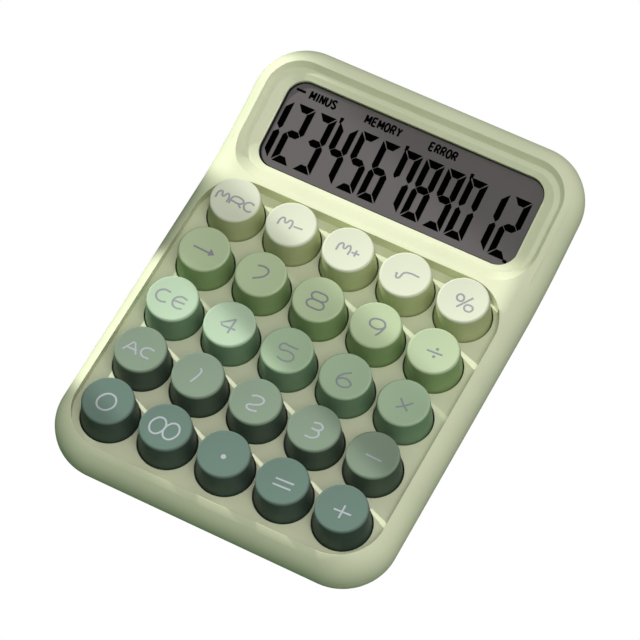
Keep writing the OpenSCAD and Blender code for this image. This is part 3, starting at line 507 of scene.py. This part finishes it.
def markShapes():
    # the three thousands ticks, the decimal point and the minus sign
    tick = [(-0.6, 0.9), (0.5, 1.0), (0.55, 0.1), (-0.1, -1.0), (-0.45, -0.9), (-0.5, 0.0)]
    point = [(-0.7, 0.8), (0.45, 0.8), (0.85, -0.3), (0.4, -0.8), (-0.1, -0.1), (-0.7, -0.1)]
    pointX, pointY = displayMarks["point"]
    left, low, right, high = displayMarks["minus"]
    shapes = [[(x + px, displayMarks["tickHigh"] + py) for px, py in tick] for x in displayMarks["ticks"]]
    shapes.append([(pointX + px, pointY + py) for px, py in point])
    shapes.append([(left, low), (right, low), (right, high), (left, high)])
    return shapes


addShapes("digit_marks", markShapes())
for word, span in displayWords["spans"].items():
    addWord(word, *span)
print("display done")

bpy.context.scene.view_settings.view_transform = "Standard"
studio = {"above": 0.68, "below": 0.1, "level": -0.25, "fillFrom": (0.85, 0.6, 1.0),  # the dome's light
          "lowTint": "#b4ffb8", "whiteAt": 0.4,  # its colour low down, and the strength where it is white
          "floorSize": 6, "floorDrop": 0.05, "floorGlow": 0.12,  # metres, millimetres under the feet
          "underGlow": 0.75, "underReach": (0.7, 0.95)}  # under the base, as shares of the way to its edge


def addStudio():
    # a white backdrop for the camera; the light it gives is strong from above and weak from below
    world = bpy.data.worlds.new("studioWorld")
    world.use_nodes = True
    tree = world.node_tree
    tree.nodes.clear()
    direction = addNode(tree, "ShaderNodeTexCoord").outputs["Generated"]
    height = addNode(tree, "ShaderNodeVectorMath", {"operation": "DOT_PRODUCT", 1: studio["fillFrom"]},
                     {0: direction}).outputs["Value"]
    strength = addNode(tree, "ShaderNodeMapRange", {
        "From Min": studio["level"], "From Max": 1.0, "To Min": studio["below"], "To Max": studio["above"]},
        {"Value": height})
    tint = addNode(tree, "ShaderNodeValToRGB", links={"Fac": strength.outputs["Result"]})
    tint.color_ramp.elements[0].position = studio["below"]
    tint.color_ramp.elements[0].color = toLinear(studio["lowTint"])
    tint.color_ramp.elements[1].position = studio["whiteAt"]
    light = addNode(tree, "ShaderNodeBackground", {},
                    {"Color": tint.outputs["Color"], "Strength": strength.outputs["Result"]})
    paper = addNode(tree, "ShaderNodeBackground", {"Color": (1, 1, 1, 1), "Strength": 1.0})
    seen = addNode(tree, "ShaderNodeLightPath").outputs["Is Camera Ray"]
    mix = addNode(tree, "ShaderNodeMixShader", {}, {0: seen, 1: light.outputs[0], 2: paper.outputs[0]})
    addNode(tree, "ShaderNodeOutputWorld", {}, {"Surface": mix.outputs[0]})
    bpy.context.scene.world = world


addStudio()


def addFloor():
    # a light table: plain white from above, with no shadow, and clear from below so that the underside shows
    bpy.ops.object.select_all(action="DESELECT")
    height = cadBox[0][2] - studio["floorDrop"] * mm
    bpy.ops.mesh.primitive_plane_add(size=studio["floorSize"], location=(0, 0, height))
    floor = bpy.context.object
    floor.name = "floor"
    material = bpy.data.materials.new("lightTable")
    material.use_nodes = True
    tree = material.node_tree
    tree.nodes.clear()
    # brighter and without the tint just under the base, so that the underside reads
    geometry = addNode(tree, "ShaderNodeNewGeometry")
    place = addNode(tree, "ShaderNodeSeparateXYZ", {}, {0: geometry.outputs["Position"]})
    reach = []
    for axis, half in (("X", cadBox[1][0]), ("Y", cadBox[1][1])):
        length = addNode(tree, "ShaderNodeMath", {"operation": "ABSOLUTE"}, {0: place.outputs[axis]})
        share = addNode(tree, "ShaderNodeMath", {"operation": "DIVIDE", 1: half}, {0: length.outputs[0]})
        reach.append(share.outputs[0])
    outwards = addNode(tree, "ShaderNodeMath", {"operation": "MAXIMUM"},
                       {0: reach[0], 1: reach[1]}).outputs[0]
    near, far = studio["underReach"]
    level = addNode(tree, "ShaderNodeMapRange",
                    {"From Min": near, "From Max": far,
                     "To Min": studio["underGlow"], "To Max": studio["floorGlow"]}, {"Value": outwards})
    tint = addNode(tree, "ShaderNodeValToRGB", links={"Fac": outwards})
    for stop, offset, colour in zip(tint.color_ramp.elements, (near, far), ("#ffffff", studio["lowTint"])):
        stop.position = offset
        stop.color = toLinear(colour)
    glow = addNode(tree, "ShaderNodeEmission", {},
                   {"Color": tint.outputs["Color"], "Strength": level.outputs["Result"]})
    paper = addNode(tree, "ShaderNodeEmission", {"Color": (1, 1, 1, 1), "Strength": 1.0})
    seen = addNode(tree, "ShaderNodeLightPath").outputs["Is Camera Ray"]
    mix = addNode(tree, "ShaderNodeMixShader", {}, {0: seen, 1: glow.outputs[0], 2: paper.outputs[0]})
    clear = addNode(tree, "ShaderNodeBsdfTransparent")
    side = addNode(tree, "ShaderNodeMixShader", {},
                   {0: geometry.outputs["Backfacing"], 1: mix.outputs[0], 2: clear.outputs[0]})
    addNode(tree, "ShaderNodeOutputMaterial", {}, {"Surface": side.outputs[0]})
    floor.data.materials.append(material)


addFloor()

keyLamp = {"direction": (-0.837, 0.348, 0.46), "distance": 1.6, "radius": 0.003, "power": 118.0,
           "cone": 24, "blend": 0.3, "across": (0.4, 1.0, 0.0),
           "from": -80.0, "to": 120.0,  # millimetres across the light, from the middle key
           "shade": [(-59, 0.1), (-54, 1), (-9, 1), (-3, 0.0), (20, 0.0), (24, 0.2), (31, 1), (70, 1),
                     (82, 0.08)]}


def addKeyLamp():
    # a low hard lamp from the left, with a soft dark bar across its beam
    towards = Vector(keyLamp["direction"]).normalized()
    target = Vector((keyPlace["x"], keyPlace["y"], keyPlace["top"]))
    bpy.ops.object.light_add(type="SPOT", location=target + towards * keyLamp["distance"])
    lamp = bpy.context.object
    lamp.name = "keyLamp"
    turned = towards.to_track_quat("Z", "Y")
    lamp.rotation_euler = turned.to_euler()
    lamp.data.energy = keyLamp["power"]
    lamp.data.shadow_soft_size = keyLamp["radius"]
    lamp.data.spot_size = math.radians(keyLamp["cone"])
    lamp.data.spot_blend = keyLamp["blend"]
    lamp.visible_glossy = False
    lamp.data.use_nodes = True
    tree = lamp.data.node_tree
    across = turned.inverted() @ Vector(keyLamp["across"]) * keyLamp["distance"] / mm
    beam = addNode(tree, "ShaderNodeTexCoord").outputs["Normal"]
    sideways = addNode(tree, "ShaderNodeVectorMath", {"operation": "DOT_PRODUCT", 1: (across.x, across.y, 0)},
                       {0: beam}).outputs["Value"]
    span = addNode(tree, "ShaderNodeMapRange", {"From Min": keyLamp["from"], "From Max": keyLamp["to"]},
                   {"Value": sideways})
    bar = addNode(tree, "ShaderNodeValToRGB", links={"Fac": span.outputs["Result"]})
    bar.color_ramp.interpolation = "EASE"
    bar.color_ramp.elements.remove(bar.color_ramp.elements[1])
    for number, (offset, value) in enumerate(keyLamp["shade"]):
        position = (offset - keyLamp["from"]) / (keyLamp["to"] - keyLamp["from"])
        stop = bar.color_ramp.elements[0] if number == 0 else bar.color_ramp.elements.new(position)
        stop.position = position
        stop.color = (value, value, value, 1)
    emission = [n for n in tree.nodes if n.type == "EMISSION"][0]
    tree.links.new(bar.outputs["Color"], emission.inputs["Color"])


addKeyLamp()

softbox = {"direction": (0.35, -0.3, 0.89), "distance": 1.0, "size": 0.5, "power": 2.8}


def addSoftbox():
    # a broad weak light beside the camera, so that the gaps between the keys don't fall dark
    towards = Vector(softbox["direction"]).normalized()
    bpy.ops.object.light_add(type="AREA", location=towards * softbox["distance"])
    lamp = bpy.context.object
    lamp.name = "softbox"
    lamp.data.size = softbox["size"]
    lamp.data.energy = softbox["power"]
    lamp.rotation_euler = towards.to_track_quat("Z", "Y").to_euler()


addSoftbox()

camera = {"azimuth": 29.27, "elevation": 59.753, "roll": 1.767, "lens": 194.85, "sensor": 36, "clipEnd": 20,
          "place": (253.42, -431.99, 884.88)}  # millimetres from the middle key on the deck
turn = (Matrix.Rotation(math.radians(camera["azimuth"]), 3, "Z")
        @ Matrix.Rotation(math.radians(90 - camera["elevation"]), 3, "X")
        @ Matrix.Rotation(math.radians(-camera["roll"]), 3, "Z"))
place = Vector((keyPlace["x"], deck["y"], deck["z"])) + Vector(camera["place"]) * mm
bpy.ops.object.camera_add(location=place, rotation=turn.to_euler())
eye = bpy.context.object
eye.name = "eye"
eye.data.lens = camera["lens"]
eye.data.sensor_width = camera["sensor"]
eye.data.clip_end = camera["clipEnd"]
bpy.context.scene.camera = eye
print("stage done")
